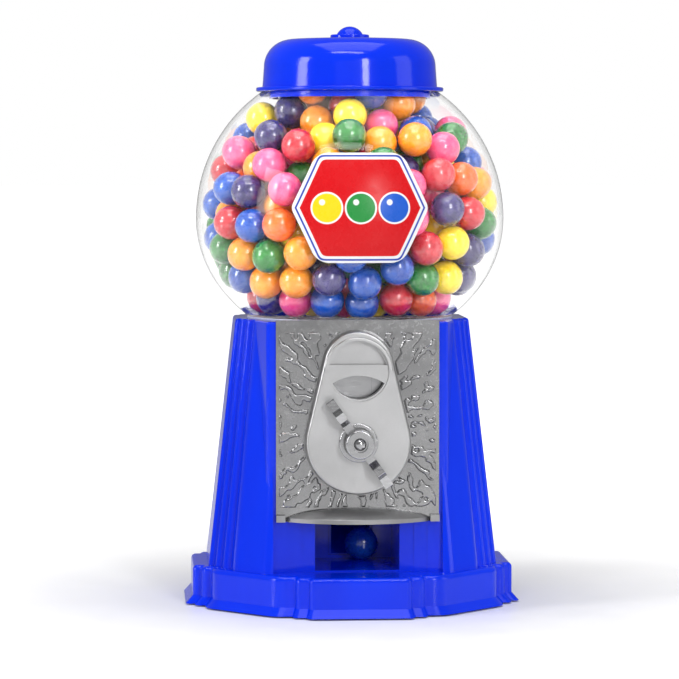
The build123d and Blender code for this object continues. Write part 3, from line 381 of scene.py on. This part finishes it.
def relief_value(x, z, out, middle_z):
    """Noise whose high spots are the cast pattern: ragged ribs that run outwards from the face.
    out is the distance from the face."""
    across = Vector((x, (z - middle_z) * 0.8)).normalized() * 12.5
    warp = noise.noise_vector(Vector((x * 170, z * 170, 3.7)))
    where = Vector((across.x + warp.x * 0.8, across.y + warp.y * 0.8, out * 58 + warp.z))
    ragged = noise.noise(Vector((x * 480, z * 480, 9.1)))
    return noise.noise(where) + 0.16 * ragged


def add_relief(made):
    """The raised cast pattern on the front plate: closed islands that sink into the plate."""
    low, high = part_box("front_plate")
    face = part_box("coin_faceplate")
    front = face[1].y
    x_low, x_high = low.x + 1.4 * MM, high.x - 1.4 * MM
    z_low, z_high = low.z + 6.6 * MM, high.z - 5.6 * MM
    middle_z = (low.z + high.z) / 2
    step = RELIEF_STEP
    nx, nz = int((x_high - x_low) / step), int((z_high - z_low) / step)
    value = np.zeros((nz + 1, nx + 1))
    border = np.zeros_like(value)
    for j in range(nz + 1):
        for i in range(nx + 1):
            x, z = x_low + i * step, z_low + j * step
            out = face_distance(x, z, *face)
            value[j, i] = relief_value(x, z, max(out, 0.0), middle_z) - RELIEF_LEVEL
            border[j, i] = min(x - x_low, x_high - x, z - z_low, z_high - z, out - 0.5 * MM)
    slope = np.maximum(np.hypot(*np.gradient(value, step)), RELIEF_LEAST_SLOPE)
    inside = np.clip(np.minimum(value / slope, border) / RELIEF_FLANK, 0.0, 1.0)
    height = inside * (2.0 - inside)
    full = (height[:-1, :-1] + height[1:, :-1] + height[:-1, 1:] + height[1:, 1:]) > 0.02
    index, verts, faces = {}, [], []

    def point(j, i, back):
        key = (j, i, back)
        if key not in index:
            index[key] = len(verts)
            y = front + 0.5 * MM if back else front + 0.02 * MM - RELIEF_HEIGHT * height[j, i]
            verts.append((x_low + i * step, y, z_low + j * step))
        return index[key]

    for j, i in zip(*np.nonzero(full)):
        ring = ((j, i), (j, i + 1), (j + 1, i + 1), (j + 1, i))
        faces.append([point(*p, False) for p in ring])
        faces.append([point(*p, True) for p in reversed(ring)])
        beside = ((j - 1, i), (j, i + 1), (j + 1, i), (j, i - 1))
        for (p, q), (bj, bi) in zip(zip(ring, ring[1:] + ring[:1]), beside):
            if not (0 <= bj < nz and 0 <= bi < nx and full[bj, bi]):
                faces.append([point(*q, False), point(*p, False), point(*p, True), point(*q, True)])
    piece = new_piece("plate_relief", verts, faces, made["cast_plate"], "housing")
    piece.data.set_sharp_from_angle(angle=radians(75))


# ---------------------------------------------------------------- floor, light, camera

def add_floor():
    """A plain pale floor that brightens into the backdrop."""
    bpy.ops.mesh.primitive_plane_add(size=40.0, location=(0, 0, 0))
    floor = bpy.context.object
    floor.name = "floor"
    s = Shader("floor")
    away = s.nodes.new("ShaderNodeVectorMath")
    away.operation = "LENGTH"
    s.link(s.place, away.inputs[0])
    far = s.span(away.outputs["Value"], 0.07, 0.45, 0.0, 1.0)
    s.bsdf.inputs["Emission Color"].default_value = (1.0, 1.0, 1.0, 1.0)
    path = s.nodes.new("ShaderNodeLightPath").outputs
    seen = s.maths("MAXIMUM", path["Is Camera Ray"], path["Is Transmission Ray"])
    s.link(s.maths("MULTIPLY", s.maths("MULTIPLY", far, seen), 0.9), s.bsdf.inputs["Emission Strength"])
    colour = s.ramp(s.noise(3.0, 2.0), ((0.3, 0.90), (0.7, 0.93)))
    floor.data.materials.append(s.finish(colour, s.span(s.noise(40.0), 0.3, 0.7, 0.35, 0.45)))


def softbox(name, place, aim, size, power):
    data = bpy.data.lights.new(name, "AREA")
    data.shape = "RECTANGLE"
    data.size, data.size_y = size
    data.energy = power
    light = bpy.data.objects.new(name, data)
    light.location = place
    light.rotation_euler = (Vector(aim) - Vector(place)).to_track_quat("-Z", "Y").to_euler()
    bpy.context.scene.collection.objects.link(light)


def add_light():
    """Soft boxes at the sides, above and in front, in a pale studio. The world is brighter for
    camera and transmission rays, which gives the white ground."""
    middle = (0.0, 0.0, 0.14)
    softbox("key", (-1.45, -0.55, 0.66), middle, (0.40, 0.80), 12.0)
    softbox("second", (0.50, -1.65, 0.70), middle, (0.24, 0.72), 10.0)
    softbox("fill", (1.30, -0.40, 0.50), middle, (0.60, 1.0), 3.0)
    softbox("top", (0.0, -0.1, 1.4), middle, (1.0, 1.0), 7.0)
    softbox("brow", (-0.10, -0.75, 1.25), middle, (0.8, 0.12), 4.5)
    softbox("front", (0.0, -2.9, 0.45), middle, (2.4, 1.5), 3.0)
    world = bpy.data.worlds.new("studio")
    bpy.context.scene.world = world
    world.use_nodes = True
    nodes, links = world.node_tree.nodes, world.node_tree.links
    back = nodes["Background"]
    path = nodes.new("ShaderNodeLightPath")
    seen = nodes.new("ShaderNodeMath")
    seen.operation = "MAXIMUM"
    links.new(path.outputs["Is Camera Ray"], seen.inputs[0])
    links.new(path.outputs["Is Transmission Ray"], seen.inputs[1])
    strength = nodes.new("ShaderNodeMapRange")
    strength.inputs["To Min"].default_value = 0.27
    strength.inputs["To Max"].default_value = 1.0
    links.new(seen.outputs["Value"], strength.inputs["Value"])
    links.new(strength.outputs["Result"], back.inputs["Strength"])
    back.inputs["Color"].default_value = (1.0, 1.0, 1.0, 1.0)


def add_camera():
    """A long lens a little above the coin mechanism, slightly to the machine's left."""
    azimuth = radians(-4.0)
    away, height = 1.516, 0.2135
    data = bpy.data.cameras.new("camera")
    data.sensor_width = 36.0
    data.lens = 167.0
    camera = bpy.data.objects.new("camera", data)
    camera.location = (away * sin(azimuth), -away * cos(azimuth), height)
    camera.rotation_euler = (radians(90.0 - 3.352), 0.0, azimuth + radians(0.1855))
    bpy.context.scene.collection.objects.link(camera)
    bpy.context.scene.camera = camera
    bpy.context.scene.view_settings.view_transform = "Standard"


materials = make_materials()
dress_nodes(materials)
frame["nodes"]["globe"].visible_shadow = False
add_relief(materials)
add_floor()
add_light()
add_camera()
